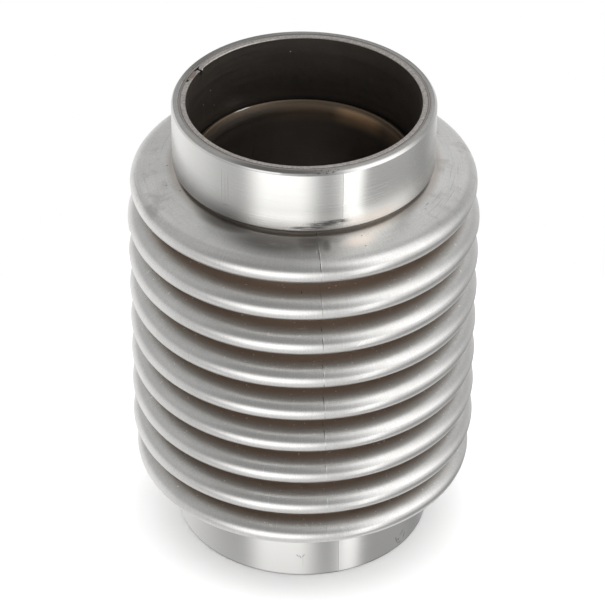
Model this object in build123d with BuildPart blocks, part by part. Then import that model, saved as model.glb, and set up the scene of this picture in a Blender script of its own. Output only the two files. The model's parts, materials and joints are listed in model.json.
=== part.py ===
from build123d import *
import os
from math import asin, atan2, cos, degrees, hypot, radians, sin, tan

# Exhaust flex pipe, 70 mm bore by 150 mm long.
# A thin corrugated bellows runs from end to end. At each end its plain neck is nested
# between a thick outer collar and an inner liner. The lower liner is drawn in to a narrower
# sleeve whose free, flared lip stands loose inside the upper liner, so the two slide along
# each other as the bellows flexes.
# Millimetres, +Z up, origin at the centre of the lower end face.

# Overall size and the bore that takes the exhaust pipe
overall_length = 150.0
bore_radius = 35.0
socket_depth = 19.5

# Walls, from the bore outwards, and the gap between one nested wall and the next
liner_wall = 1.5
bellows_wall = 0.6
collar_wall = 2.0
fit_gap = 0.1

# Collars
upper_collar_height = 20.0
lower_collar_height = 18.5
rim_chamfer = 0.8
foot_chamfer = 0.3
collar_edge_round = 0.4

# Bellows
convolution_count = 9
crown_radius = 53.0
end_crown_radius = 52.0
crown_section = 3.7
collar_to_crown = 7.0
collar_to_bend = 1.15
end_root_section = 1.5
neck_recess = 0.4

# Upper liner, a rolled sheet with an open butt seam
upper_liner_length = 45.0
liner_taper = 0.4
liner_taper_length = 10.0
upper_seam_angle = 153.0
upper_seam_gap = 0.5

# Lower liner, rolled the same way, then drawn in above its socket and flared at its free lip
sleeve_radius = 30.9
swage_angle = 35.0
swage_round = 6.0
lip_drop = 20.0
lip_flare_radius = 9.0
lip_flare_angle = 33.0
lower_seam_angle = 121.0
lower_seam_gap = 0.4

edge_break = 0.25

# Radii and heights that follow from the sizes above
neck_radius = bore_radius + liner_wall + fit_gap + bellows_wall
collar_inner_radius = neck_radius + fit_gap
first_crown_z = lower_collar_height + collar_to_crown
last_crown_z = overall_length - upper_collar_height - collar_to_crown
pitch = (last_crown_z - first_crown_z) / (convolution_count - 1)
root_section = pitch / 2 - crown_section

# The bend at an end root begins inside its collar and comes out of it by collar_to_bend, and
# the end flank is the line that touches this bend and the end crown
end_root_rise = collar_to_crown + end_root_section - collar_to_bend
end_root_reach = end_crown_radius - crown_section - neck_radius - end_root_section
end_flank_slope = atan2(end_root_rise, end_root_reach) - asin(
    (crown_section + end_root_section) / hypot(end_root_reach, end_root_rise)
)

lip_z = overall_length - lip_drop
flare_start_z = lip_z - lip_flare_radius * sin(radians(lip_flare_angle))
swage_start_z = socket_depth + swage_round * tan(radians(swage_angle) / 2)
swage_end_z = swage_start_z + (bore_radius - sleeve_radius) / tan(radians(swage_angle))


def ring(inner_radius, wall, bottom, height):
    """Draws the section of a plain ring, in the plane of radius and height."""
    with Locations((inner_radius + wall / 2, bottom + height / 2)):
        Rectangle(wall, height)


def outermost(edges):
    """The circle of largest radius among these edges."""
    return edges.filter_by(GeomType.CIRCLE).sort_by(SortBy.RADIUS)[-1]


def innermost(edges):
    """The circle of smallest radius among these edges."""
    return edges.filter_by(GeomType.CIRCLE).sort_by(SortBy.RADIUS)[0]


def butt_seam(angle, gap):
    """The slit between the two edges of a rolled sheet, at this angle about Z, seen from above."""
    with BuildSketch(Plane.XY) as slit:
        with PolarLocations(bore_radius, 1, start_angle=angle):
            Rectangle(bore_radius, gap)
    return slit.sketch


# Upper collar: a plain ring with a chamfered mouth, its lower edge rounded over the bellows
with BuildPart() as upper_collar:
    with BuildSketch(Plane.XZ):
        ring(
            collar_inner_radius,
            collar_wall,
            overall_length - upper_collar_height,
            upper_collar_height,
        )
    revolve(axis=Axis.Z)
    chamfer(outermost(upper_collar.edges().group_by(Axis.Z)[-1]), rim_chamfer)
    fillet(outermost(upper_collar.edges().group_by(Axis.Z)[0]), collar_edge_round)
    chamfer(innermost(upper_collar.edges().group_by(Axis.Z)[0]), edge_break)

# Lower collar: the same ring turned over, with only a broken edge where it stands
with BuildPart() as lower_collar:
    with BuildSketch(Plane.XZ):
        ring(collar_inner_radius, collar_wall, 0, lower_collar_height)
    revolve(axis=Axis.Z)
    chamfer(outermost(lower_collar.edges().group_by(Axis.Z)[0]), foot_chamfer)
    fillet(outermost(lower_collar.edges().group_by(Axis.Z)[-1]), collar_edge_round)
    chamfer(innermost(lower_collar.edges().group_by(Axis.Z)[-1]), edge_break)

# Bellows: one path up the outside of the wall, through every root and crown, then thickened
# inwards. The first and last crowns are a little smaller than the rest, and their outer
# flanks slope up to the collars.
with BuildPart() as bellows:
    with BuildSketch(Plane.XZ):
        with BuildLine():
            lower_neck = Line(
                (neck_radius, neck_recess), (neck_radius, first_crown_z - end_root_rise)
            )
            root = JernArc(
                lower_neck @ 1, lower_neck % 1, end_root_section, degrees(end_flank_slope) - 90
            )
            for index in range(convolution_count):
                first = index == 0
                last = index == convolution_count - 1
                slope_below = end_flank_slope if first else 0
                slope_above = end_flank_slope if last else 0
                tip = end_crown_radius if first or last else crown_radius
                crown_z = first_crown_z + index * pitch
                lower_flank = Line(
                    root @ 1,
                    (
                        tip - crown_section + crown_section * sin(slope_below),
                        crown_z - crown_section * cos(slope_below),
                    ),
                )
                crown = JernArc(
                    lower_flank @ 1,
                    lower_flank % 1,
                    crown_section,
                    180 - degrees(slope_below + slope_above),
                )
                section = end_root_section if last else root_section
                root_z = crown_z + (end_root_rise if last else pitch / 2)
                upper_flank = Line(
                    crown @ 1,
                    (
                        neck_radius + section - section * sin(slope_above),
                        root_z - section * cos(slope_above),
                    ),
                )
                root = JernArc(
                    upper_flank @ 1,
                    upper_flank % 1,
                    section,
                    degrees(slope_above) - 90 if last else -180,
                )
            Line(root @ 1, (neck_radius, overall_length - neck_recess))
            offset(amount=bellows_wall, side=Side.LEFT)
        make_face()
    revolve(axis=Axis.Z)

# Upper liner: full bore down to the stop of the socket, then drawn in slightly, so that the
# pipe seats there and the sheet keeps clear of the bellows' roots
with BuildPart() as upper_liner:
    with BuildSketch(Plane.XZ):
        with BuildLine():
            Polyline(
                (bore_radius, overall_length),
                (bore_radius, overall_length - socket_depth),
                (
                    bore_radius - liner_taper,
                    overall_length - socket_depth - liner_taper_length,
                ),
                (bore_radius - liner_taper, overall_length - upper_liner_length),
            )
            offset(amount=liner_wall, side=Side.LEFT, kind=Kind.INTERSECTION)
        make_face()
    revolve(axis=Axis.Z)
    chamfer(innermost(upper_liner.edges().group_by(Axis.Z)[-1]), edge_break)
    slit = butt_seam(upper_seam_angle, upper_seam_gap)
    extrude(slit, amount=overall_length, mode=Mode.SUBTRACT)

# Lower liner: the socket for the pipe, a smooth draw-in, the sleeve and its flared lip
with BuildPart() as lower_liner:
    with BuildSketch(Plane.XZ):
        with BuildLine():
            body = FilletPolyline(
                (bore_radius, 0),
                (bore_radius, swage_start_z),
                (sleeve_radius, swage_end_z),
                (sleeve_radius, flare_start_z),
                radius=swage_round,
            )
            JernArc(body @ 1, body % 1, lip_flare_radius, -lip_flare_angle)
            offset(amount=liner_wall, side=Side.RIGHT)
        make_face()
    revolve(axis=Axis.Z)
    chamfer(innermost(lower_liner.edges().group_by(Axis.Z)[0]), edge_break)
    slit = butt_seam(lower_seam_angle, lower_seam_gap)
    extrude(slit, amount=overall_length, mode=Mode.SUBTRACT)

os.makedirs("parts", exist_ok=True)

upper_collar.part.label = "upper_collar"
export_step(upper_collar.part, "parts/upper_collar.step")
lower_collar.part.label = "lower_collar"
export_step(lower_collar.part, "parts/lower_collar.step")
bellows.part.label = "bellows"
export_step(bellows.part, "parts/bellows.step")
upper_liner.part.label = "upper_liner"
export_step(upper_liner.part, "parts/upper_liner.step")
lower_liner.part.label = "lower_liner"
export_step(lower_liner.part, "parts/lower_liner.step")
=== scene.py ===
import json
import math
from math import cos, pi, radians, sin, tan

import bmesh
import bpy
import numpy as np
from mathutils import Matrix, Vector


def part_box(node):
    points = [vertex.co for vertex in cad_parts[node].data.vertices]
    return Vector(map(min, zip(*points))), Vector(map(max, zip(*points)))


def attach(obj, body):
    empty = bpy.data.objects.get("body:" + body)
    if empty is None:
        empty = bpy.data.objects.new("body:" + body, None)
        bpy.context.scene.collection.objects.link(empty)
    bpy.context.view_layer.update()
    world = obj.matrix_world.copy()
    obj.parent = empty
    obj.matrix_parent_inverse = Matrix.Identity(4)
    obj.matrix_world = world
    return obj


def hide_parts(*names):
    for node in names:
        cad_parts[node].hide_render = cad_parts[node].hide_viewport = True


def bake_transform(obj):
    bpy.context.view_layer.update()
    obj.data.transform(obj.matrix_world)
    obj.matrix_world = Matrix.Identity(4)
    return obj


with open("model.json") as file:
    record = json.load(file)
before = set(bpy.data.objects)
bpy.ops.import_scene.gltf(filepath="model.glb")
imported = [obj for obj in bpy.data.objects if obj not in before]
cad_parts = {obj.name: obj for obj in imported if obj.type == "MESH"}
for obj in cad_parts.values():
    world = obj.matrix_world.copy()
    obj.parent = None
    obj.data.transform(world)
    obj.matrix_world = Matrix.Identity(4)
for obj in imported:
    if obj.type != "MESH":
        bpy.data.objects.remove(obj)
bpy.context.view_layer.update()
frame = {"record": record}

# Exhaust flex pipe: the finish of its five pieces, a pale floor and soft studio light.
# Lengths are in metres, in the frame of the solids: +X right, +Y away from the viewer, +Z up.
# Angles about Z are in degrees: from +X towards +Y, seen from above.
MM = 0.001

# Divides in the place of a length of zero
TINY = 1e-12


def bore_of(mount_name):
    """The radius that the record states for one of the round mounts."""
    for mount in frame["record"]["mounts"]:
        if mount["name"] == mount_name:
            return mount["dims"]["r_mm"] * MM
    raise ValueError("there is no mount named " + mount_name)


# Sizes read from the solids
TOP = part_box("upper_collar")[1].z
UPPER_COLLAR_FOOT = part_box("upper_collar")[0].z
LOWER_COLLAR_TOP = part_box("lower_collar")[1].z
COLLAR_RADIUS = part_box("upper_collar")[1].x
BELLOWS_BOTTOM, BELLOWS_TOP = (corner.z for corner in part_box("bellows"))
CROWN_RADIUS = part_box("bellows")[1].x
UPPER_LINER_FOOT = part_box("upper_liner")[0].z
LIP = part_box("lower_liner")[1].z
BORE = bore_of("upper_socket")

# Walls and fits
COLLAR_WALL = 2.0 * MM
BELLOWS_WALL = 0.6 * MM
LINER_WALL = 1.5 * MM
FIT_GAP = 0.1 * MM
COLLAR_BORE = COLLAR_RADIUS - COLLAR_WALL
NECK = COLLAR_BORE - FIT_GAP

# Collars
RIM_CHAMFER = 0.8 * MM
FOOT_CHAMFER = 0.3 * MM
COLLAR_EDGE = 0.4 * MM
SHARP_EDGE = 0.12 * MM
COLLAR_SHRINK = 0.03 * MM

# The rim was dressed with a file: it slopes outwards in uneven waves, and a share of its
# chamfer's width is missing at the left back and, up to the reach in degrees, in front
RIM_SLOPE = 0.13 * MM
RIM_WAVES = 5
RIM_WAVE_SHARE = 0.4
RIM_WAVE_START = 1.0
NARROW_CHAMFER_AT = 120.0
NARROW_CHAMFER_SHARE = 0.4
STEEP_CHAMFER_AT = -117.0
STEEP_CHAMFER_REACH = 52.0
STEEP_CHAMFER_SHARE = 0.7

# Bellows. CROWN_SECTION is the solid's arc, which is a little fuller and lower here. The neck
# stands higher in the rim, and higher still over a short stretch where the liner is tacked.
CONVOLUTIONS = 9
END_CROWN_RADIUS = 52.0 * MM
CROWN_SECTION = 3.7 * MM
CROWN_HALF = 3.83 * MM
CROWN_DROP = 0.08 * MM
COLLAR_TO_CROWN = 7.0 * MM
COLLAR_TO_BEND = 1.15 * MM
END_ROOT = 1.5 * MM
NECK_RISE = 0.25 * MM
TACK_ANGLE = 159.0
TACK_HALF_ANGLE = 4.0
TACK_FADE_ANGLE = 1.5
TACK_RISE = 0.12 * MM
END_ROOT_RISE = COLLAR_TO_CROWN + END_ROOT - COLLAR_TO_BEND
END_ROOT_REACH = END_CROWN_RADIUS - CROWN_SECTION - NECK - END_ROOT
END_FLANK_SLOPE = math.degrees(
    math.atan2(END_ROOT_RISE, END_ROOT_REACH)
    - math.asin((CROWN_SECTION + END_ROOT) / math.hypot(END_ROOT_REACH, END_ROOT_RISE))
)
FIRST_CROWN = LOWER_COLLAR_TOP + COLLAR_TO_CROWN
LAST_CROWN = UPPER_COLLAR_FOOT - COLLAR_TO_CROWN
PITCH = (LAST_CROWN - FIRST_CROWN) / (CONVOLUTIONS - 1)
ROOT_SECTION = PITCH / 2 - CROWN_HALF

# A crown is tightest at its tip and eases into its flanks: from which normal on, in degrees,
# and how much
EASE_ABOVE = (19.4, 3.25)
EASE_BELOW = (32.7, 0.36)

# The middle convolutions have settled a little
SAG = 0.95 * MM
SAG_HEIGHT = 86.0 * MM
SAG_SPREAD = 29.0 * MM

# Welds and seams
BELLOWS_WELD_ANGLE = -83.3
BELLOWS_WELD_LEAN = -0.028
COLLAR_WELD_ANGLE = -72.2
WELD_HEIGHT = 0.035 * MM
COLLAR_WELD_HEIGHT = 0.5 * WELD_HEIGHT
WELD_HALF_WIDTH = 0.2 * MM
WELD_PEAK = 0.05 * MM
WELD_PEAK_REACH = 4.0 * MM
WELD_PEAK_RISE = 3.0 * MM
UPPER_SEAM_ANGLE = 153.0
UPPER_SEAM_GAP = 0.02 * MM
LOWER_SEAM_ANGLE = 121.0
LOWER_SEAM_GAP = 0.02 * MM

# Liners
SOCKET_DEPTH = 19.5 * MM
LINER_TAPER = 0.4 * MM
LINER_TAPER_LENGTH = 10.0 * MM
EDGE_BREAK = 0.25 * MM
SLEEVE = 30.9 * MM
SWAGE_ANGLE = 35.0
SWAGE_ROUND = 6.0 * MM
FLARE_RADIUS = 9.0 * MM
FLARE_ANGLE = 33.0
LINER_ROUND = 0.3 * MM
LIP_ROUND = 0.3 * MM

# The sleeve leans over this length below its lip, which stands low and tilted
LIP_DROP = 0.4 * MM
LIP_TILT = 0.4 * MM
LIP_LEAN_LENGTH = 60.0 * MM

# Notch at the upper liner's seam: the end before the seam is bent in, and both ends have lost
# their corners, which are drawn back by these shifts round the bore
BEND_IN = 0.75 * MM
BEND_HEIGHT = 4.0 * MM
BEND_LENGTH = 2.2 * MM
CORNER_SIZE = 1.5 * MM
CORNER_DROP = 0.25 * MM
CORNER_SHIFTS = (-0.45 * MM, 0.25 * MM)

# Fineness of the meshes: points round a ring and along an arc, distances from a cut end and
# depths below the rim that get points of their own, and the angle from which an edge is sharp
RING_STEPS = 192
BELLOWS_RING_STEPS = 160
ARC_STEPS = 5
CROWN_STEPS = 10
ROOT_STEPS = 12
FLANK_STEPS = 3
FLARE_STEPS = 8
SUMMING_STEPS = 40
CUT_END_POINTS = [x * MM for x in (0.25, 0.5, 0.8, 1.1, 1.5, 2.0, 2.6)]
RIM_DEPTHS = [x * MM for x in (0.8, 1.5, 2.2, 3.0, 4.0)]
SHARP_ANGLE = 32.0


# Outlines, as lists of (radius, height)

def arc(centre, radius, start, end, steps):
    """Points along an arc, both ends included, angles in degrees from outwards towards up."""
    angles = np.radians(np.linspace(start, end, steps + 1))
    return [(centre[0] + radius * cos(a), centre[1] + radius * sin(a)) for a in angles]


def rounded(corners, closed=True):
    """The outline through these corners (radius, height, rounding), each one rounded off."""
    points = []
    count = len(corners)
    for index, (r, z, rounding) in enumerate(corners):
        if rounding == 0 or (not closed and index in (0, count - 1)):
            points.append((r, z))
            continue
        here = np.array((r, z))
        back = np.array(corners[index - 1][:2]) - here
        ahead = np.array(corners[(index + 1) % count][:2]) - here
        back = back / np.linalg.norm(back)
        ahead = ahead / np.linalg.norm(ahead)
        half = math.acos(np.clip(back @ ahead, -1, 1)) / 2
        middle = (back + ahead) / np.linalg.norm(back + ahead)
        centre = here + middle * rounding / sin(half)
        first = here + back * rounding / tan(half) - centre
        last = here + ahead * rounding / tan(half) - centre
        start = math.atan2(first[1], first[0])
        turn = (math.atan2(last[1], last[0]) - start + pi) % (2 * pi) - pi
        points += arc(centre, rounding, math.degrees(start), math.degrees(start + turn), ARC_STEPS)
    return points


def between(start, end, steps):
    """Points that divide a straight stretch, its two ends left out."""
    shares = [step / steps for step in range(1, steps)]
    return [tuple(a + (b - a) * share for a, b in zip(start, end)) for share in shares]


def thickened(path, wall):
    """A closed outline: the path, and back along its right-hand side at the wall's distance."""
    line = np.array(path)
    ahead = np.diff(line, axis=0)
    ahead /= np.linalg.norm(ahead, axis=1)[:, None]
    before = np.vstack([ahead[:1], ahead])
    after = np.vstack([ahead, ahead[-1:]])
    along = before + after
    along /= np.linalg.norm(along, axis=1)[:, None]
    right = np.stack([along[:, 1], -along[:, 0]], axis=1)
    mitre = (along * after).sum(axis=1)
    other = line + right * (wall / mitre)[:, None]
    return [tuple(p) for p in line] + [tuple(p) for p in other[::-1]]


def crown_arc(tip, height, start, end, steps):
    """The outside of a crown, between the directions in degrees in which its flanks face."""
    halves = []
    for turn, (ease_from, ease), up in ((-start, EASE_BELOW, -1), (end, EASE_ABOVE, 1)):
        facing = np.linspace(0, turn, SUMMING_STEPS * steps + 1)
        middle = np.radians((facing[1:] + facing[:-1]) / 2)
        share = np.clip((np.degrees(middle) - ease_from) / (90 - ease_from), 0, 1)
        length = 1 + ease * share ** 2
        inwards = np.concatenate([[0], np.cumsum(length * np.sin(middle))])
        along = np.concatenate([[0], np.cumsum(length * np.cos(middle))])
        size = (CROWN_HALF * sin(radians(turn)) + up * CROWN_DROP) / along[-1]
        halves.append([(tip - size * inwards[i], height - CROWN_DROP + up * size * along[i])
                       for i in range(0, SUMMING_STEPS * steps + 1, SUMMING_STEPS)])
    return halves[0][:0:-1] + halves[1]


def bellows_line():
    """The outside of the bellows, from its lower neck to its upper one."""
    points = [(NECK, BELLOWS_BOTTOM)]
    root = (NECK + END_ROOT, FIRST_CROWN - END_ROOT_RISE)
    points += arc(root, END_ROOT, 180, 90 + END_FLANK_SLOPE, ROOT_STEPS // 2)
    for index in range(CONVOLUTIONS):
        first, last = index == 0, index == CONVOLUTIONS - 1
        tip = END_CROWN_RADIUS if first or last else CROWN_RADIUS
        height = FIRST_CROWN + index * PITCH
        start = -90 + (END_FLANK_SLOPE if first else 0)
        end = 90 - (END_FLANK_SLOPE if last else 0)
        crown = crown_arc(tip, height, start, end, CROWN_STEPS)
        if last:
            root = (NECK + END_ROOT, height + END_ROOT_RISE)
            inner = arc(root, END_ROOT, 270 - END_FLANK_SLOPE, 180, ROOT_STEPS // 2)
        else:
            root = (NECK + ROOT_SECTION, height + PITCH / 2)
            inner = arc(root, ROOT_SECTION, 270, 90, ROOT_STEPS)
        points += between(points[-1], crown[0], FLANK_STEPS) + crown
        points += between(crown[-1], inner[0], FLANK_STEPS) + inner
    points.append((NECK, BELLOWS_TOP))
    return points


# Meshes

# Angles in degrees from the middle of a weld at which the meshes have points, and how far
# beyond the last of them the even spacing goes on
WELD_OFFSETS = [x * math.degrees(WELD_HALF_WIDTH / COLLAR_RADIUS) / 3 for x in range(-4, 5)]
BELLOWS_WELD_OFFSETS = [-1.3, -0.8] + WELD_OFFSETS + [0.8, 1.3]
CLEAR_OF_WELD = 1.3

# The radial part of a unit normal from which a face counts as the outside of a collar
FACING_OUT = 0.9


def around(steps, weld_angle, offsets):
    """Angles in degrees for a full turn, with those at the offsets from a weld in the place of
    the ones beside it."""
    near = weld_angle % 360.0
    clear = CLEAR_OF_WELD * max(offsets)
    angles = [a for a in np.linspace(0.0, 360.0, steps + 1)[:-1] if abs(a - near) > clear]
    return np.array(sorted(angles + [near + x for x in offsets]))


def outline_normals(outline):
    """Unit normals of a closed outline, pointing out of the metal."""
    line = np.array(outline)
    ahead = np.roll(line, -1, axis=0) - line
    ahead /= np.maximum(np.linalg.norm(ahead, axis=1), TINY)[:, None]
    along = ahead + np.roll(ahead, 1, axis=0)
    along /= np.maximum(np.linalg.norm(along, axis=1), TINY)[:, None]
    area = (line[:, 0] * np.roll(line[:, 1], -1) - np.roll(line[:, 0], -1) * line[:, 1]).sum()
    side = 1.0 if area > 0 else -1.0
    return np.stack([along[:, 1], -along[:, 0]], axis=1) * side


def lathe(name, outline, angles, material, shape, closed=True):
    """A solid turned from a closed outline, or a rolled sheet of it with two cut ends.

    shape takes the angle, radius, height and normal of every point and returns its new radius,
    height and angle. The attribute rest keeps the first radius and height, for the paint.
    """
    line = np.array(outline)
    normals = outline_normals(outline)
    theta = np.repeat(np.radians(angles), len(line))
    r = np.tile(line[:, 0], len(angles))
    z = np.tile(line[:, 1], len(angles))
    normal = np.tile(normals, (len(angles), 1))
    rest_r, rest_z = r, z
    r, z, theta = shape(theta, r, z, normal)
    co = np.stack([r * np.cos(theta), r * np.sin(theta), z], axis=1)
    rest = np.stack([rest_r * np.cos(theta), rest_r * np.sin(theta), rest_z], axis=1)
    count, rings = len(line), len(angles)
    faces = []
    for i in range(rings if closed else rings - 1):
        a = i * count
        b = ((i + 1) % rings) * count
        for j in range(count):
            k = (j + 1) % count
            faces.append((a + j, a + k, b + k, b + j))
    if not closed:
        faces.append(tuple(range(count)))
        faces.append(tuple(reversed(range((rings - 1) * count, rings * count))))
    mesh = bpy.data.meshes.new(name)
    mesh.from_pydata([tuple(p) for p in co], [], faces)
    attribute = mesh.attributes.new("rest", "FLOAT_VECTOR", "POINT")
    attribute.data.foreach_set("vector", rest.astype(np.float32).ravel())
    bm = bmesh.new()
    bm.from_mesh(mesh)
    bmesh.ops.recalc_face_normals(bm, faces=bm.faces)
    bm.to_mesh(mesh)
    bm.free()
    mesh.polygons.foreach_set("use_smooth", [True] * len(mesh.polygons))
    mesh.set_sharp_from_angle(angle=radians(SHARP_ANGLE))
    mesh.materials.append(material)
    piece = bpy.data.objects.new(name, mesh)
    bpy.context.scene.collection.objects.link(piece)
    return piece


def turn_between(theta, angle):
    """The signed angle in radians from this direction to each point's."""
    return (theta - radians(angle) + pi) % (2 * pi) - pi


def weld_profile(theta, angle, radius):
    """1 on the crest of a weld line at this angle, falling to 0 at its sides."""
    across = np.abs(turn_between(theta, angle)) * radius / WELD_HALF_WIDTH
    return np.clip(1 - across, 0, 1) ** 2 * (1 + 2 * np.clip(across, 0, 1))


# Materials

class Paint:
    """The nodes of one material or world, built step by step. An input is a value or a socket."""

    def __init__(self, owner, output="ShaderNodeOutputMaterial"):
        self.owner = owner
        self.owner.use_nodes = True
        self.tree = owner.node_tree
        self.tree.nodes.clear()
        self.output = self.tree.nodes.new(output)

    def put(self, socket, value):
        if isinstance(value, bpy.types.NodeSocket):
            self.tree.links.new(value, socket)
        else:
            socket.default_value = value

    def node(self, kind, inputs=None, **settings):
        made = self.tree.nodes.new(kind)
        for key, value in settings.items():
            setattr(made, key, value)
        for key, value in (inputs or {}).items():
            self.put(made.inputs[key], value)
        return made

    def math(self, operation, a, b=0.0):
        return self.node("ShaderNodeMath", {0: a, 1: b}, operation=operation).outputs[0]

    def times(self, a, b):
        return self.math("MULTIPLY", a, b)

    def plus(self, a, b):
        return self.math("ADD", a, b)

    def minus(self, a, b):
        return self.math("SUBTRACT", a, b)

    def size(self, value):
        """The value without its sign."""
        return self.math("ABSOLUTE", value)

    def vector_math(self, operation, a, b=(0.0, 0.0, 0.0)):
        return self.node("ShaderNodeVectorMath", {0: a, 1: b}, operation=operation).outputs

    def band(self, value, low, high, start=0.0, end=1.0):
        """Smoothly from start, where value is low, to end, where it is high."""
        made = self.node(
            "ShaderNodeMapRange",
            {"Value": value, "From Min": low, "From Max": high, "To Min": start, "To Max": end},
            interpolation_type="SMOOTHSTEP",
        )
        return made.outputs["Result"]

    def combine(self, x, y, z):
        return self.node("ShaderNodeCombineXYZ", {0: x, 1: y, 2: z}).outputs[0]

    def noise(self, vector, scale=1.0, detail=2.0, roughness=0.5):
        made = self.node(
            "ShaderNodeTexNoise",
            {"Vector": vector, "Scale": scale, "Detail": detail, "Roughness": roughness},
        )
        return made.outputs[0]

    def blend(self, share, a, b):
        """Colour a where share is 0 and colour b where it is 1."""
        made = self.node("ShaderNodeMix", {"Factor": share}, data_type="RGBA")
        self.put(made.inputs[6], a)
        self.put(made.inputs[7], b)
        return made.outputs[2]


class TurnedPaint(Paint):
    """A material that knows its place on the solid: radius and height in millimetres, and turn,
    the angle in radians from the front to the right."""

    def __init__(self, name):
        super().__init__(bpy.data.materials.new(name))
        self.rest = self.node("ShaderNodeAttribute", attribute_name="rest").outputs["Vector"]
        x, y, z = self.node("ShaderNodeSeparateXYZ", {0: self.rest}).outputs
        self.height = self.times(z, 1.0 / MM)
        radius = self.math("SQRT", self.plus(self.times(x, x), self.times(y, y)))
        self.radius = self.times(radius, 1.0 / MM)
        self.unit_x = self.math("DIVIDE", x, radius)
        self.unit_y = self.math("DIVIDE", y, radius)
        self.turn = self.math("ARCTAN2", self.unit_x, self.times(self.unit_y, -1.0))

    def spots(self, at_radius, places, soft):
        """1 on small ovals, fading out over the soft share of their size. A place is an angle in
        degrees from the front to the right, height and radius, the half sizes round, up and out,
        all in millimetres, and a lean in degrees. at_radius is where the first one is true."""
        unrolled = self.combine(self.times(self.turn, at_radius), self.height, self.radius)
        total = 0.0
        for angle, height, radius, wide, high, deep, lean in places:
            moved = self.node("ShaderNodeMapping", {
                "Vector": unrolled,
                "Location": (radians(angle) * at_radius, height, radius),
                "Rotation": (0.0, 0.0, radians(lean)),
                "Scale": (wide, high, deep),
            }, vector_type="TEXTURE")
            away = self.vector_math("LENGTH", moved.outputs[0])["Value"]
            total = self.math("MAXIMUM", self.band(away, 1.0 - soft, 1.0, 1.0, 0.0), total)
        return total

    def marked(self, colour, tint, at_radius, places, soft, strength=1.0):
        """The colour with spots of a tint on it."""
        return self.blend(self.times(self.spots(at_radius, places, soft), strength), colour, tint)

    def swirl(self, turns, along, across):
        """Coordinates whose noise runs turns times as fine round the axis as a unit circle,
        and whose other directions are height times along and radius times across."""
        return self.combine(
            self.times(self.unit_x, turns),
            self.times(self.unit_y, turns),
            self.plus(self.times(self.height, along), self.times(self.radius, across)),
        )

    def round_the_axis(self):
        """The direction along the ring, for grain that spreads light sideways."""
        return self.combine(self.times(self.unit_y, -1.0), self.unit_x, 0.0)

    def across_the_ring(self):
        """The direction square to the ring in the surface, for lines turned round the axis."""
        normal = self.node("ShaderNodeNewGeometry").outputs["Normal"]
        return self.vector_math("CROSS_PRODUCT", normal, self.round_the_axis())[0]

    def steel(self, colour, roughness, anisotropy=0.0, tangent=None, bumps=None, strength=0.0):
        """Finishes the material as bare metal with its grain along the tangent."""
        shader = self.node("ShaderNodeBsdfPrincipled", {
            "Base Color": colour,
            "Roughness": roughness,
            "Metallic": 1.0,
            "Anisotropic": anisotropy,
        })
        if tangent is not None:
            self.put(shader.inputs["Tangent"], tangent)
        if bumps is not None:
            raised = self.node("ShaderNodeBump", {
                "Height": bumps, "Strength": strength, "Distance": BUMP_HEIGHT,
            })
            self.put(shader.inputs["Normal"], raised.outputs[0])
        self.put(self.output.inputs["Surface"], shader.outputs[0])
        return self.owner


# Colours that more than one mark has
WHITE = (1.0, 1.0, 1.0, 1)
BRIGHT = (0.95, 0.93, 0.90, 1)
MID_GREY = (0.34, 0.335, 0.33, 1)
DARK_GREY = (0.20, 0.195, 0.19, 1)

BUMP_HEIGHT = 0.1 * MM

# Marks on the pieces, as TurnedPaint.spots takes them, and first the radii where they are laid out
COLLAR_SPOTS_AT = 39.3
RIM_SPOTS_AT = 38.3
BELLOWS_SPOTS_AT = 50.0
LINER_SPOTS_AT = 35.0
LINER_EDGE_SPOTS_AT = 36.4

COLLAR_PATCHES = [
    (11.0, 132.4, 39.3, 8.0, 1.3, 2.0, 0.0),
    (14.5, 132.8, 39.3, 5.0, 1.1, 2.0, 0.0),
    (3.0, 131.2, 39.3, 7.5, 0.9, 2.0, 0.0),
]
COLLAR_LIGHT_LINES_AND_REFLECTION = [
    # The first two paint the reflection of the first crown as thin light lines; the rest are light
    # marks
    (-14.0, 134.1, 39.3, 12.0, 0.22, 2.0, 0.0),
    (8.0, 133.9, 39.3, 7.0, 0.16, 2.0, 0.0),
    (18.0, 139.0, 39.3, 0.8, 0.2, 2.0, 0.0),
    (18.0, 138.2, 39.3, 0.6, 0.2, 2.0, 0.0),
    (56.0, 143.0, 39.3, 0.12, 2.2, 2.0, 10.0),
    (73.0, 140.5, 39.3, 2.0, 0.15, 2.0, 20.0),
]
COLLAR_DARK_LINES = [
    (-36.3, 141.0, 39.3, 0.14, 8.0, 2.0, 0.0),
    (-34.6, 139.5, 39.3, 0.10, 8.0, 2.0, 0.0),
    (-33.0, 141.0, 39.3, 0.14, 7.0, 2.0, 0.0),
    (-34.6, 134.4, 39.3, 1.7, 0.22, 2.0, 8.0),
    (1.2, 6.0, 39.3, 0.12, 4.0, 2.0, 0.0),
]
COLLAR_DENTS_AND_GAP_SHADE = [
    # The first two paint the shade in the gaps beside the liner's tack; the rest are dents and
    # dark marks
    (-105.6, 150.0, 37.5, 0.55, 0.8, 0.30, 0.0),
    (-116.3, 150.0, 37.5, 0.9, 0.8, 0.30, 0.0),
    (124.0, 150.0, 38.2, 3.2, 0.8, 0.10, 0.0),
    (127.0, 150.0, 37.8, 2.6, 0.8, 0.10, 0.0),
    (-1.2, 7.9, 39.3, 0.28, 0.9, 2.0, 40.0),
    (0.0, 7.5, 39.3, 0.25, 1.0, 2.0, 25.0),
    (1.4, 7.9, 39.3, 0.25, 1.1, 2.0, -35.0),
    (49.5, 3.4, 39.3, 0.40, 1.9, 2.0, 20.0),
    (51.0, 3.0, 39.3, 0.55, 0.7, 2.0, 0.0),
    (53.5, 4.8, 39.3, 1.7, 0.32, 2.0, 35.0),
    (55.2, 3.0, 39.3, 0.32, 1.6, 2.0, -15.0),
    (51.5, 1.6, 39.3, 1.4, 0.32, 2.0, -10.0),
]
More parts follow.
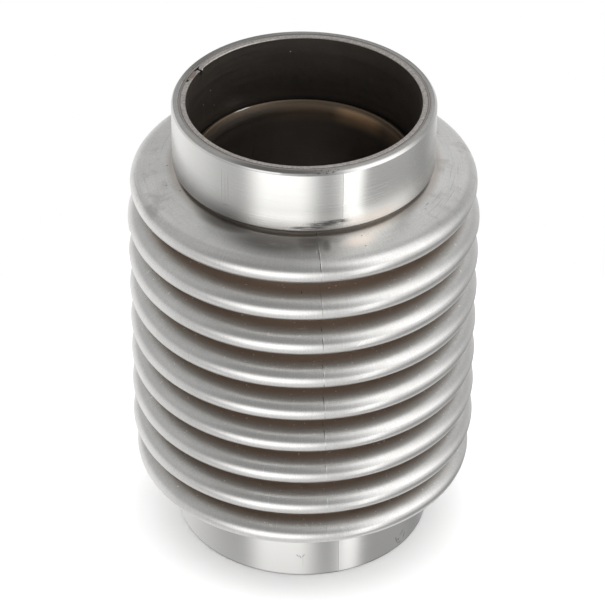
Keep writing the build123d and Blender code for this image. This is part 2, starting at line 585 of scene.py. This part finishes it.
# A painted warm reflection of the bellows' flank, low on the upper collar's right
COLLAR_PAINTED_REFLECTION = [(34.0, 132.0, 39.3, 11.0, 2.6, 2.0, 0.0)]
RIM_SPECKLES = [(10.0, 150.0, 38.2, 5.5, 0.6, 1.2, 0.0)]
# Painted shade on the rim at the left back and in front
RIM_PAINTED_SHADE = [
    (-140.0, 150.0, 38.3, 27.0, 1.0, 3.0, 0.0),
    (-11.0, 150.0, 38.3, 18.0, 1.0, 3.0, 0.0),
]


def collar_steel():
    """Rolled ring, brushed round: fine turning lines, a few drag marks and a dressed rim."""
    paint = TurnedPaint("collar_brushed")
    fine = paint.noise(paint.swirl(1.5, 3.0, 3.0), detail=3.0, roughness=0.6)
    colour = paint.blend(fine, (0.62, 0.615, 0.60, 1), (0.655, 0.65, 0.635, 1))

    # Upper collar: a painted reflection brightens its skirt in front, and painted shade darkens it
    # at the left
    foot = UPPER_COLLAR_FOOT / MM
    left = paint.band(paint.turn, radians(-34.0), radians(-16.0), 1.0, 0.0)
    aside = paint.size(paint.minus(paint.turn, radians(5.0)))
    painted_skirt_reflection = paint.times(paint.band(paint.height, foot + 0.2, foot + 1.6),
                        paint.band(paint.height, foot + 3.6, foot + 7.5, 0.7, 0.0))
    painted_skirt_reflection = paint.times(painted_skirt_reflection, paint.band(aside, radians(16.0), radians(34.0), 1.0, 0.35))
    painted_skirt_reflection = paint.times(painted_skirt_reflection, paint.minus(1.0, left))
    colour = paint.blend(painted_skirt_reflection, colour, (0.94, 0.92, 0.89, 1))
    # Painted shade low on the skirt at the left
    painted_left_shade = paint.times(paint.band(paint.height, foot + 1.0, foot + 6.0, 0.5, 0.0),
                         paint.band(paint.height, foot - 1.0, foot))
    colour = paint.blend(paint.times(painted_left_shade, left), colour, DARK_GREY)
    # Painted warm reflection of the flank, low on the right
    colour = paint.marked(colour, (0.80, 0.69, 0.60, 1), COLLAR_SPOTS_AT, COLLAR_PAINTED_REFLECTION, 0.8, 0.5)

    # Dark mottled patches, lines and dents on both collars, and grit on the rim. Two light lines
    # are a painted reflection, and two dark spots by the liner's tack are painted shade
    dark_mottle = paint.noise(paint.swirl(8.0, 1.8, 0.0), detail=4.0, roughness=0.7)
    dark_mottle = paint.times(paint.band(dark_mottle, 0.34, 0.54),
                        paint.spots(COLLAR_SPOTS_AT, COLLAR_PATCHES, 0.6))
    colour = paint.blend(dark_mottle, colour, (0.17, 0.165, 0.16, 1))
    for places, soft, strength, tint in (
        (COLLAR_DARK_LINES, 0.7, 0.45, (0.30, 0.29, 0.28, 1)),
        (COLLAR_DENTS_AND_GAP_SHADE, 0.6, 0.75, DARK_GREY),
        (COLLAR_LIGHT_LINES_AND_REFLECTION, 0.7, 0.5, (0.90, 0.90, 0.89, 1)),
    ):
        colour = paint.marked(colour, tint, COLLAR_SPOTS_AT, places, soft, strength)
    grit = paint.noise(paint.rest, scale=1500.0, detail=2.0, roughness=0.7)
    grit = paint.times(paint.band(grit, 0.48, 0.60),
                       paint.spots(COLLAR_SPOTS_AT, RIM_SPECKLES, 0.4))
    colour = paint.blend(grit, colour, (0.16, 0.15, 0.14, 1))

    # Lower collar: a little rougher, and greyed all over as painted shade for the shadowed floor
    # it reflects, with a painted contact shadow where it stands
    lower_top = LOWER_COLLAR_TOP / MM
    lower = paint.minus(1.0, paint.band(paint.height, lower_top, lower_top + 1.0))
    colour = paint.blend(paint.times(lower, 0.30), colour, MID_GREY)
    painted_contact_shadow = paint.band(paint.height, 0.25, 0.75, 0.8, 0.0)
    colour = paint.blend(painted_contact_shadow, colour, (0.12, 0.115, 0.11, 1))

    # Rim: greyer, with painted shade in two places, and turned lines and file marks across
    rim = paint.band(paint.height, TOP / MM - 0.3, TOP / MM - 0.05)
    colour = paint.blend(paint.times(rim, 0.3), colour, MID_GREY)
    rim_shade = paint.times(paint.spots(RIM_SPOTS_AT, RIM_PAINTED_SHADE, 0.6), rim)
    colour = paint.blend(paint.times(rim_shade, 0.8), colour, DARK_GREY)
    turned = paint.noise(paint.swirl(1.2, 0.0, 7.0), detail=3.0, roughness=0.7)
    turned = paint.times(paint.band(turned, 0.50, 0.62, 0.0, 0.5), rim)
    colour = paint.blend(turned, colour, DARK_GREY)
    filed = paint.noise(paint.swirl(120.0, 0.0, 0.25), detail=3.0, roughness=0.6)
    filed = paint.times(paint.band(filed, 0.45, 0.7, 0.0, 0.30), rim)
    colour = paint.blend(filed, colour, (0.32, 0.31, 0.31, 1))

    roughness = paint.band(fine, 0.3, 0.7, 0.24, 0.275)
    for where, more in ((rim, 0.14), (dark_mottle, 0.2), (lower, 0.04)):
        roughness = paint.plus(roughness, paint.times(where, more))
    return paint.steel(colour, roughness, 0.85, paint.across_the_ring())


BELLOWS_PITS = [
    (6.4, 127.2, 46.3, 0.35, 1.0, 0.35, 0.0),
    (0.2, 114.5, 47.4, 0.3, 0.8, 0.8, 0.0),
    (24.6, 128.2, 41.8, 0.35, 0.8, 0.3, 0.0),
    (24.0, 127.3, 45.7, 0.35, 0.8, 0.3, 0.0),
    (-85.6, 128.4, 40.8, 0.45, 0.8, 0.45, 0.0),
    (-72.0, 128.0, 42.5, 0.35, 0.8, 0.35, 0.0),
    (-65.2, 128.6, 39.8, 0.45, 0.8, 0.45, 0.0),
]
BELLOWS_SCUFFS = [
    (36.0, 127.6, 44.4, 6.0, 1.0, 0.14, 0.0),
    (34.0, 127.3, 45.8, 5.0, 1.0, 0.10, 0.0),
    (22.6, 126.7, 48.7, 0.16, 1.0, 1.3, 0.0),
    (5.6, 127.3, 45.6, 0.30, 1.0, 1.3, 0.0),
    (6.9, 127.1, 46.6, 0.18, 1.0, 0.8, 0.0),
    (0.6, 102.3, 48.1, 2.4, 0.8, 0.5, 0.0),
    (21.0, 102.3, 48.6, 0.35, 0.8, 0.5, 0.0),
    (18.6, 98.3, 53.0, 0.26, 2.6, 2.5, -48.0),
    (20.0, 98.6, 53.0, 0.16, 2.2, 2.5, -52.0),
    (-10.5, 40.0, 52.2, 0.14, 3.0, 4.0, 4.0),
    (-12.0, 52.0, 52.3, 0.12, 3.0, 4.0, -3.0),
    (-8.0, 52.3, 52.3, 0.12, 2.6, 4.0, 3.0),
    (-8.2, 29.2, 50.0, 0.14, 3.0, 4.0, 5.0),
]
BELLOWS_SCRATCHES = [
    (66.0, 127.9, 43.1, 7.0, 1.0, 0.13, 0.0),
    (62.0, 127.5, 44.6, 9.0, 1.0, 0.11, 0.0),
    (70.0, 127.2, 46.2, 8.0, 1.0, 0.11, 0.0),
    (85.0, 127.7, 44.0, 7.0, 1.0, 0.12, 0.0),
    (78.0, 127.4, 45.2, 10.0, 1.0, 0.10, 0.0),
    (88.0, 127.3, 46.0, 5.0, 1.0, 0.14, 0.0),
    (60.0, 128.1, 42.2, 1.6, 1.0, 0.35, 0.0),
    (57.0, 127.9, 43.0, 0.5, 1.0, 0.35, 0.0),
]
# Patches of painted shade on the upper flank below the collar
BELLOWS_PAINTED_SHADE = [
    (-12.0, 127.6, 42.9, 20.0, 3.0, 5.4, 0.0),
    (-34.0, 128.3, 40.7, 18.0, 2.0, 3.0, 0.0),
    (3.0, 128.0, 42.6, 9.0, 2.6, 4.6, 0.0),
    (9.4, 127.7, 43.4, 2.4, 2.4, 3.4, 0.0),
]
# A lighter beige patch on the upper flank, a painted reflection
BELLOWS_PAINTED_REFLECTION = [(22.5, 127.7, 43.6, 8.5, 2.0, 2.8, 0.0)]

# The dark line that tints the bellows' weld, in millimetres
WELD_TINT_HALF = 0.24
WELD_TINT_SHIFT = 0.1


def weld_line(paint, depth):
    """The dark line of the bellows' weld: leaning, broken up, and faint in the roots and low."""
    lean = paint.times(paint.minus(paint.height, LAST_CROWN / MM), radians(BELLOWS_WELD_LEAN))
    aside = paint.minus(paint.minus(paint.turn, lean), radians(BELLOWS_WELD_ANGLE + 90.0))
    aside = paint.plus(paint.times(aside, BELLOWS_SPOTS_AT), WELD_TINT_SHIFT)
    broken = paint.band(paint.noise(paint.rest, scale=420.0, detail=2.0), 0.44, 0.60, 0.10, 0.85)
    line = paint.times(paint.band(paint.size(aside), 0.0, WELD_TINT_HALF, 1.0, 0.0), broken)
    line = paint.times(line, paint.minus(1.0, paint.times(depth, 0.8)))
    return paint.times(line, paint.band(paint.height, 48.0, 66.0, 0.15, 1.0))


def bellows_steel():
    """Formed thin sheet: satin, grained across the convolutions, browned in the roots."""
    paint = TurnedPaint("bellows_satin")
    first, last = FIRST_CROWN / MM, LAST_CROWN / MM
    grain = paint.noise(paint.swirl(150.0, 0.12, 0.0), detail=3.0, roughness=0.6)
    speckle = paint.noise(paint.rest, scale=3600.0, detail=1.0)
    mixed = paint.plus(paint.times(grain, 0.3), paint.times(speckle, 0.7))
    colour = paint.blend(paint.band(mixed, 0.3, 0.7),
                         (0.58, 0.575, 0.56, 1), (0.72, 0.715, 0.705, 1))
    broad = paint.noise(paint.rest, scale=60.0, detail=4.0)
    cloudy = paint.band(broad, 0.35, 0.65, 0.0, 0.22)
    colour = paint.blend(cloudy, colour, (0.50, 0.49, 0.47, 1))

    # Convolutions: a lighter warm tint on their shoulders, partly painted reflection, and browned
    # deeper in
    inside = paint.times(paint.band(paint.height, last, last + 2.0, 1.0, 0.0),
                         paint.band(paint.height, first - 2.0, first))
    shoulder_tint_and_reflection = paint.times(paint.band(paint.radius, 47.5, 50.5, 0.4, 0.0), inside)
    colour = paint.blend(shoulder_tint_and_reflection, colour, (0.78, 0.71, 0.64, 1))
    depth = paint.times(paint.band(paint.radius, 45.7, 48.9, 1.0, 0.0), inside)
    colour = paint.blend(depth, colour, (0.60, 0.525, 0.465, 1))

    # End flanks: stained and ringed at the sides, with painted shade beside the collars and in
    # patches below the upper collar
    flank = paint.minus(1.0, inside)
    sides = paint.band(paint.size(paint.turn), radians(35.0), radians(60.0))
    stains = paint.noise(paint.rest, scale=110.0, detail=5.0, roughness=0.65)
    stains = paint.times(paint.band(stains, 0.50, 0.66, 0.0, 0.36), flank)
    colour = paint.blend(paint.times(stains, sides), colour, (0.30, 0.28, 0.26, 1))
    rings = paint.noise(paint.swirl(2.5, 0.0, 5.0), detail=3.0, roughness=0.7)
    rings = paint.times(paint.band(rings, 0.56, 0.66, 0.0, 0.32), flank)
    colour = paint.blend(paint.times(rings, sides), colour, (0.26, 0.25, 0.24, 1))
    # Painted shade on the flanks right beside the collars
    collar_shade = paint.times(paint.band(paint.radius, 39.5, 42.0, 0.6, 0.0), flank)
    colour = paint.blend(collar_shade, colour, (0.36, 0.31, 0.27, 1))
    flank_shade = paint.noise(paint.swirl(4.0, 0.0, 0.9), detail=4.0, roughness=0.6)
    flank_shade = paint.times(paint.band(flank_shade, 0.12, 0.46),
                        paint.spots(BELLOWS_SPOTS_AT, BELLOWS_PAINTED_SHADE, 0.8))
    colour = paint.blend(paint.times(flank_shade, 0.85), colour, (0.24, 0.225, 0.215, 1))
    # Painted reflection as a beige patch on the flank
    colour = paint.marked(colour, (0.92, 0.81, 0.72, 1), BELLOWS_SPOTS_AT, BELLOWS_PAINTED_REFLECTION, 0.8, 0.6)

    # Painted glints as bright dots in the hollows, the weld, and small marks
    hollow = paint.times(paint.band(paint.radius, 49.0, 52.0, 1.0, 0.0), inside)
    painted_glints = paint.noise(paint.rest, scale=900.0, detail=1.0)
    painted_glints = paint.times(paint.band(painted_glints, 0.70, 0.74), hollow)
    colour = paint.blend(painted_glints, colour, BRIGHT)
    colour = paint.blend(weld_line(paint, depth), colour, (0.13, 0.12, 0.11, 1))
    for places, soft, strength, tint in (
        (BELLOWS_PITS, 0.6, 0.7, (0.12, 0.11, 0.10, 1)),
        (BELLOWS_SCRATCHES, 0.8, 0.55, (0.22, 0.215, 0.21, 1)),
        (BELLOWS_SCUFFS, 0.8, 0.6, (0.92, 0.91, 0.89, 1)),
    ):
        colour = paint.marked(colour, tint, BELLOWS_SPOTS_AT, places, soft, strength)

    roughness = paint.plus(paint.band(broad, 0.3, 0.7, 0.28, 0.32), paint.times(hollow, 0.27))
    return paint.steel(colour, roughness, 0.5, paint.round_the_axis(), mixed, 0.045)


# Where the painted golden highlight under the lip is strongest, and the radii in millimetres
# between which the wall of the sleeve takes the place of the wall round it
LIP_HIGHLIGHT_ANGLE = 58.0
SLEEVE_FROM = (33.8, 33.6)
LIP_GLINT = [(-143.5, LIP / MM, 32.6, 4.8, 0.35, 1.2, 0.0)]
LINER_TACK = [(-111.0, 150.0, 36.2, 3.2, 1.0, 1.5, 0.0)]
LINER_GAP_SHADE = [
    (-105.6, 150.0, 36.5, 1.0, 1.0, 1.1, 0.0),
    (-115.6, 150.0, 36.6, 1.1, 1.0, 0.9, 0.0),
]
LINER_SPECKS = [
    (-118.2, 150.0, 35.3, 0.5, 0.6, 0.35, 0.0),
    (-125.4, 140.0, 35.0, 0.3, 0.3, 2.0, 0.0),
    (-145.2, 127.6, 34.9, 0.25, 0.25, 2.0, 0.0),
    (-172.2, 145.2, 35.0, 0.3, 0.3, 2.0, 0.0),
    (-128.0, 134.0, 35.0, 0.22, 0.22, 2.0, 0.0),
    (-119.0, 137.0, 35.0, 0.22, 0.3, 2.0, 0.0),
]


def liner_steel():
    """Rolled sheet, dulled brown by hot gas, its cut edges a little brighter."""
    paint = TurnedPaint("liner_dull")
    blotches = paint.noise(paint.rest, scale=45.0, detail=4.0, roughness=0.55)
    colour = paint.blend(paint.band(blotches, 0.3, 0.7),
                         (0.17, 0.153, 0.14, 1), (0.225, 0.195, 0.17, 1))

    # Sleeve: a faint straw tint below its lip with a painted golden highlight on one side, and
    # brown at the lip
    lip = LIP / MM
    sleeve = paint.band(paint.radius, *SLEEVE_FROM)
    towards = paint.plus(paint.times(paint.unit_x, cos(radians(LIP_HIGHLIGHT_ANGLE))),
                         paint.times(paint.unit_y, sin(radians(LIP_HIGHLIGHT_ANGLE))))
    painted_highlight = paint.plus(paint.band(towards, 0.40, 0.95, 0.03, 0.26),
                         paint.band(towards, 0.95, 1.0, 0.0, 0.74))
    straw_and_highlight_band = paint.times(paint.band(paint.height, lip - 8.0, lip - 3.0), sleeve)
    colour = paint.blend(paint.times(straw_and_highlight_band, painted_highlight), colour, (1.0, 0.70, 0.44, 1))
    brown = paint.times(paint.band(paint.height, lip - 2.0, lip - 0.6), sleeve)
    colour = paint.blend(brown, colour, (0.20, 0.155, 0.11, 1))
    colour = paint.marked(colour, BRIGHT, LINER_SPOTS_AT, LIP_GLINT, 0.5)

    # Sheared edge in the rim, tacked beside the notch, with painted shade in the gaps on both
    # sides of the tack
    sheared = paint.noise(paint.swirl(60.0, 0.0, 1.2), detail=4.0, roughness=0.65)
    edge = paint.blend(paint.band(sheared, 0.36, 0.62),
                       (0.40, 0.375, 0.355, 1), (0.60, 0.565, 0.54, 1))
    colour = paint.blend(paint.band(paint.height, TOP / MM - 0.3, TOP / MM - 0.1), colour, edge)
    for at_radius, places, soft, strength, tint in (
        (LINER_EDGE_SPOTS_AT, LINER_TACK, 0.4, 0.75, (0.26, 0.20, 0.17, 1)),
        (LINER_EDGE_SPOTS_AT, LINER_GAP_SHADE, 0.5, 1.0, (0.03, 0.025, 0.02, 1)),
        (LINER_SPOTS_AT, LINER_SPECKS, 0.5, 1.0, (0.85, 0.85, 0.85, 1)),
    ):
        colour = paint.marked(colour, tint, at_radius, places, soft, strength)

    streaks = paint.noise(paint.swirl(0.8, 2.2, 2.2), detail=3.0)
    return paint.steel(colour, paint.band(streaks, 0.3, 0.7, 0.45, 0.55))


# Pieces

def settle(z):
    """Heights of the bellows once its middle convolutions have settled."""
    return z - SAG * np.exp(-((z - SAG_HEIGHT) / SAG_SPREAD) ** 2)


def make_bellows(material):
    air = bellows_line()
    gas = thickened(air, -BELLOWS_WALL)[len(air):]
    # The inside is hidden, so it takes every other point
    outline = air + gas[:1] + gas[1:-1:2] + gas[-1:]
    outside = np.arange(len(outline)) < len(air)

    def shape(theta, r, z, normal):
        """The bead of the weld with a peak on the upper flank, the weld's lean, the settled
        convolutions, and the neck's edge in the rim."""
        front = np.tile(outside, len(theta) // len(outside))
        bead = WELD_HEIGHT * weld_profile(theta, BELLOWS_WELD_ANGLE, CROWN_RADIUS) * front
        arc_away = np.abs(turn_between(theta, BELLOWS_WELD_ANGLE)) * CROWN_RADIUS
        above = np.clip((z - LAST_CROWN) / WELD_PEAK_RISE, 0, 1)
        peak = WELD_PEAK * np.exp(-arc_away / WELD_PEAK_REACH) * above
        lean = radians(BELLOWS_WELD_LEAN) * (z - LAST_CROWN) / MM
        beside = np.degrees(np.abs(turn_between(theta, TACK_ANGLE))) - TACK_HALF_ANGLE
        raised = NECK_RISE + TACK_RISE * np.clip(1 - beside / TACK_FADE_ANGLE, 0, 1)
        raised = raised * (z > BELLOWS_TOP - 0.001 * MM)
        z = settle(z) + bead * normal[:, 1] + peak + raised
        return r + bead * normal[:, 0], z, theta + lean

    angles = around(BELLOWS_RING_STEPS, BELLOWS_WELD_ANGLE, BELLOWS_WELD_OFFSETS)
    piece = lathe("bellows_wall", outline, angles, material, shape)
    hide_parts("bellows")
    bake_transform(piece)


def collar_shape(theta, r, z, normal):
    """A faint ridge where the rolled ring's butt weld was ground off, and the dressed rim. The
    ring is shrunk a little, so that the ridge stays within the solid's radius."""
    bead = COLLAR_WELD_HEIGHT * weld_profile(theta, COLLAR_WELD_ANGLE, COLLAR_RADIUS)
    bead = bead * (normal[:, 0] > FACING_OUT)

    # The chamfer's upper corner goes outwards
    towards = np.cos(theta - radians(NARROW_CHAMFER_AT))
    missing = NARROW_CHAMFER_SHARE * np.clip(0.4 + 0.6 * towards, 0, 1)
    aside = np.abs(turn_between(theta, STEEP_CHAMFER_AT)) / radians(STEEP_CHAMFER_REACH)
    missing = missing + STEEP_CHAMFER_SHARE * np.clip(1.5 - 1.5 * aside, 0, 1)
    corner = (z > TOP - 0.5 * RIM_CHAMFER) & (r > COLLAR_RADIUS - 1.5 * RIM_CHAMFER)
    r = r + RIM_CHAMFER * missing * corner

    outwards = np.clip((r - COLLAR_BORE) / COLLAR_WALL, 0, 1)
    waves = 1 + RIM_WAVE_SHARE * np.sin(RIM_WAVES * theta + RIM_WAVE_START)
    rim = z > TOP - 1.2 * RIM_CHAMFER
    return r - COLLAR_SHRINK + bead, z - RIM_SLOPE * waves * outwards * rim, theta


def make_collars(material):
    upper = rounded([
        (COLLAR_BORE, UPPER_COLLAR_FOOT, SHARP_EDGE),
        (COLLAR_RADIUS, UPPER_COLLAR_FOOT, COLLAR_EDGE),
        (COLLAR_RADIUS, TOP - RIM_CHAMFER, SHARP_EDGE),
        (COLLAR_RADIUS - RIM_CHAMFER, TOP, SHARP_EDGE),
        (COLLAR_BORE, TOP, SHARP_EDGE),
    ])
    lower = rounded([
        (COLLAR_BORE, 0.0, SHARP_EDGE),
        (COLLAR_RADIUS - FOOT_CHAMFER, 0.0, SHARP_EDGE / 2),
        (COLLAR_RADIUS, FOOT_CHAMFER, SHARP_EDGE / 2),
        (COLLAR_RADIUS, LOWER_COLLAR_TOP, COLLAR_EDGE),
        (COLLAR_BORE, LOWER_COLLAR_TOP, SHARP_EDGE),
    ])
    angles = around(RING_STEPS, COLLAR_WELD_ANGLE, WELD_OFFSETS)
    for name, outline, node, body in (
        ("upper_collar_ring", upper, "upper_collar", "upper_end"),
        ("lower_collar_ring", lower, "lower_collar", "lower_end"),
    ):
        piece = lathe(name, outline, angles, material, collar_shape)
        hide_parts(node)
        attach(piece, body)


def seam_angles(angle, gap):
    """Angles round a rolled sheet, from one of its cut ends to the other, closer near the ends."""
    half = math.degrees(gap / 2 / BORE)
    start, end = angle + half, angle + 360.0 - half
    near = [math.degrees(x / BORE) for x in CUT_END_POINTS]
    inner = np.linspace(start + 2 * near[-1], end - 2 * near[-1], RING_STEPS)
    return np.array([start] + [start + x for x in near] + list(inner)
                    + [end - x for x in near[::-1]] + [end])


def notch_shape(theta, r, z, normal):
    """One cut end of the upper liner bent in at the rim, and both with their corners gone."""
    past = turn_between(theta, UPPER_SEAM_ANGLE) * BORE
    high = np.clip((z - (TOP - BEND_HEIGHT)) / BEND_HEIGHT, 0, 1) ** 2
    bent = np.where(past < 0, np.clip(1 + past / BEND_LENGTH, 0, 1), 0) ** 2
    near_end = np.clip(1 - np.abs(past) / CORNER_SIZE, 0, 1)
    corner = near_end * np.clip((z - TOP + CORNER_SIZE) / CORNER_SIZE, 0, 1)
    shift = np.where(past < 0, *CORNER_SHIFTS) * corner
    return r - BEND_IN * bent * high, z - CORNER_DROP * corner, theta + shift / BORE


def lip_shape(theta, r, z, normal):
    """The sleeve stands a little askew, so its lip is lower on the right."""
    share = np.clip((z - (LIP - LIP_LEAN_LENGTH)) / LIP_LEAN_LENGTH, 0, 1)
    return r, z - (LIP_DROP + LIP_TILT * np.cos(theta)) * share, theta


def make_upper_liner(material):
    step_top = TOP - SOCKET_DEPTH
    path = [
        (BORE, TOP - EDGE_BREAK),
        (BORE, step_top),
        (BORE - LINER_TAPER, step_top - LINER_TAPER_LENGTH),
        (BORE - LINER_TAPER, UPPER_LINER_FOOT),
    ]
    back = thickened(path, -LINER_WALL)[len(path):]
    # Extra points below the rim let its cut end bend
    heights = [TOP - depth for depth in RIM_DEPTHS]
    outline = rounded(
        [(BORE + EDGE_BREAK, TOP, 0.0), (BORE, TOP - EDGE_BREAK, 0.0)]
        + [(BORE, z, 0.0) for z in heights]
        + [(r, z, LINER_ROUND) for r, z in path[1:3]]
        + [(*path[3], SHARP_EDGE), (*back[0], SHARP_EDGE)]
        + [(r, z, LINER_ROUND) for r, z in back[1:3]]
        + [(back[3][0], z, 0.0) for z in heights[::-1]]
        + [(back[3][0], TOP, SHARP_EDGE)]
    )
    piece = lathe("upper_liner_sheet", outline, seam_angles(UPPER_SEAM_ANGLE, UPPER_SEAM_GAP),
                  material, notch_shape, closed=False)
    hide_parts("upper_liner")
    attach(piece, "upper_end")


def make_lower_liner(material):
    swage_start = SOCKET_DEPTH + SWAGE_ROUND * tan(radians(SWAGE_ANGLE) / 2)
    swage_end = swage_start + (BORE - SLEEVE) / tan(radians(SWAGE_ANGLE))
    flare_start = LIP - FLARE_RADIUS * sin(radians(FLARE_ANGLE))
    path = rounded([
        (BORE, 0.0, 0.0),
        (BORE, swage_start, SWAGE_ROUND),
        (SLEEVE, swage_end, SWAGE_ROUND),
        (SLEEVE, flare_start, 0.0),
    ], closed=False)
    flare = (SLEEVE + FLARE_RADIUS, flare_start)
    path += arc(flare, FLARE_RADIUS, 180, 180 - FLARE_ANGLE, FLARE_STEPS)[1:]
    lip = (len(path) - 1, len(path))
    outline = rounded([
        (r, z, LIP_ROUND if index in lip else 0.0)
        for index, (r, z) in enumerate(thickened(path, LINER_WALL))
    ])
    piece = lathe("lower_liner_sheet", outline, seam_angles(LOWER_SEAM_ANGLE, LOWER_SEAM_GAP),
                  material, lip_shape, closed=False)
    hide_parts("lower_liner")
    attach(piece, "lower_end")


# Stage, light and camera

FLOOR_RADIUS = 0.16
FLOOR_SIDES = 96

LAMP_PLACE = (-0.45, 0.15, 0.55)
LAMP_SIZE = 2.0
LAMP_POWER = 11.7

CAMERA_PLACE = (0.01275, -0.85022, 0.69227)
CAMERA_PITCH = 35.92
CAMERA_YAW = 0.875
CAMERA_ROLL = 0.244
FOCAL_LENGTH = 203.37
SENSOR_WIDTH = 36.0
CLIPPING = (0.05, 20.0)

# Brightness of the surroundings, from this elevation in degrees down and from that one up
LOW_SKY = (-15, 0.55)
HIGH_SKY = (52, 0.25)

# Soft panels in it: middle azimuth, half width and soft edge, then the same in elevation, all in
# degrees, and brightness, where a negative one darkens. Azimuth 0 is in front, 90 to the right.
PANELS = [
    (-17, 26, 25, -16, 28, 38, 1.38),
    (44, 9, 7, -21, 28, 12, 1.40),
    (33, 8, 10, -14, 14, 16, 0.45),
    (-15, 32, 40, 18, 14, 24, 0.18),
    (75, 31, 38, 37, 33, 30, 1.35),
    (62, 18, 30, 38, 22, 24, 0.25),
    (-128, 48, 60, -14, 30, 30, 0.52),
    (158, 26, 36, 10, 45, 40, 0.30),
    (100, 40, 30, -38, 16, 16, -0.17),
    (75, 30, 24, -60, 14, 12, -0.28),
    (82, 22, 20, -12, 12, 14, 0.32),
    (103, 8, 14, 20, 8, 12, -0.30),
    (112, 12, 14, 58, 10, 12, 0.25),
    (142, 16, 16, -38, 8, 12, -0.12),
    (173, 4, 8, 22, 8, 12, -0.40),
    (-48, 14, 24, -12, 16, 20, 0.22),
    (12, 12, 14, 18, 14, 16, -0.15),
    (-60, 40, 40, 76, 8, 12, 0.12),
    (-115, 50, 60, 48, 22, 30, 0.36),
    (-15, 32, 30, 56, 18, 18, 0.10),
    (180, 28, 30, 42, 14, 16, -0.12),
    (180, 180, 1, -90, 42, 34, 0.38),
    (110, 60, 70, 72, 16, 24, 0.50),
    (160, 12, 16, 42, 20, 20, 0.40),
    (-154, 12, 16, 44, 18, 16, 0.32),
    (-131, 14, 20, -34, 20, 20, 0.15),
    (166, 8, 12, -34, 20, 16, 0.20),
]


def make_world():
    world = bpy.data.worlds.new("studio")
    bpy.context.scene.world = world
    paint = Paint(world, "ShaderNodeOutputWorld")
    direction = paint.node("ShaderNodeTexCoord").outputs["Generated"]
    x, y, z = paint.node("ShaderNodeSeparateXYZ", {0: direction}).outputs
    azimuth = paint.math("ARCTAN2", x, paint.times(y, -1.0))
    elevation = paint.math("ARCSINE", z)

    def within(distance, half, edge):
        """1 nearer than half, falling to 0 across the soft edge, all angles."""
        return paint.band(distance, radians(half - edge / 2), radians(half + edge / 2), 1.0, 0.0)

    (low, low_light), (high, high_light) = LOW_SKY, HIGH_SKY
    total = paint.band(elevation, radians(low), radians(high), low_light, high_light)
    for middle, half, edge, height, half_height, height_edge, strength in PANELS:
        swing = paint.math("COSINE", paint.minus(azimuth, radians(middle)))
        aside = paint.math("ARCCOSINE", paint.math("MINIMUM", swing, 1.0))
        above = paint.size(paint.minus(elevation, radians(height)))
        lit = paint.times(within(aside, half, edge), within(above, half_height, height_edge))
        total = paint.plus(total, paint.times(lit, strength))

    # The camera itself sees plain white
    seen = paint.node("ShaderNodeLightPath").outputs["Is Camera Ray"]
    surroundings, white = (
        paint.node("ShaderNodeBackground", {"Color": WHITE, "Strength": strength}).outputs[0]
        for strength in (total, 1.0)
    )
    mixed = paint.node("ShaderNodeMixShader", {0: seen, 1: surroundings, 2: white})
    paint.put(paint.output.inputs["Surface"], mixed.outputs[0])


def make_floor():
    """A pale disc, white to the camera and clear to reflections, which see the panels instead."""
    bm = bmesh.new()
    bmesh.ops.create_circle(bm, cap_ends=True, segments=FLOOR_SIDES, radius=FLOOR_RADIUS)
    mesh = bpy.data.meshes.new("floor")
    bm.to_mesh(mesh)
    bm.free()
    floor = bpy.data.objects.new("floor", mesh)
    bpy.context.scene.collection.objects.link(floor)
    paint = Paint(bpy.data.materials.new("floor_white"))
    path = paint.node("ShaderNodeLightPath").outputs
    colour = paint.blend(path["Is Camera Ray"], (0.5, 0.5, 0.5, 1), WHITE)
    surface = paint.node("ShaderNodeBsdfDiffuse", {"Color": colour}).outputs[0]
    clear = paint.node("ShaderNodeBsdfTransparent").outputs[0]
    mixed = paint.node("ShaderNodeMixShader", {0: path["Is Glossy Ray"], 1: surface, 2: clear})
    paint.put(paint.output.inputs["Surface"], mixed.outputs[0])
    mesh.materials.append(paint.owner)


def make_lamp():
    lamp = bpy.data.lights.new("overhead", "AREA")
    lamp.shape = "DISK"
    lamp.size = LAMP_SIZE
    lamp.energy = LAMP_POWER
    holder = bpy.data.objects.new("overhead", lamp)
    holder.location = LAMP_PLACE
    holder.visible_glossy = False
    bpy.context.scene.collection.objects.link(holder)


def make_camera():
    camera = bpy.data.cameras.new("camera")
    camera.sensor_width = SENSOR_WIDTH
    camera.lens = FOCAL_LENGTH
    camera.clip_start, camera.clip_end = CLIPPING
    holder = bpy.data.objects.new("camera", camera)
    holder.matrix_world = (
        Matrix.Translation(CAMERA_PLACE)
        @ Matrix.Rotation(radians(CAMERA_YAW), 4, "Z")
        @ Matrix.Rotation(radians(90.0 - CAMERA_PITCH), 4, "X")
        @ Matrix.Rotation(radians(CAMERA_ROLL), 4, "Z")
    )
    bpy.context.scene.collection.objects.link(holder)
    bpy.context.scene.camera = holder


make_camera()
make_world()
make_floor()
make_lamp()
make_collars(collar_steel())
make_bellows(bellows_steel())
liner_finish = liner_steel()
make_upper_liner(liner_finish)
make_lower_liner(liner_finish)
bpy.context.scene.view_settings.view_transform = "Standard"
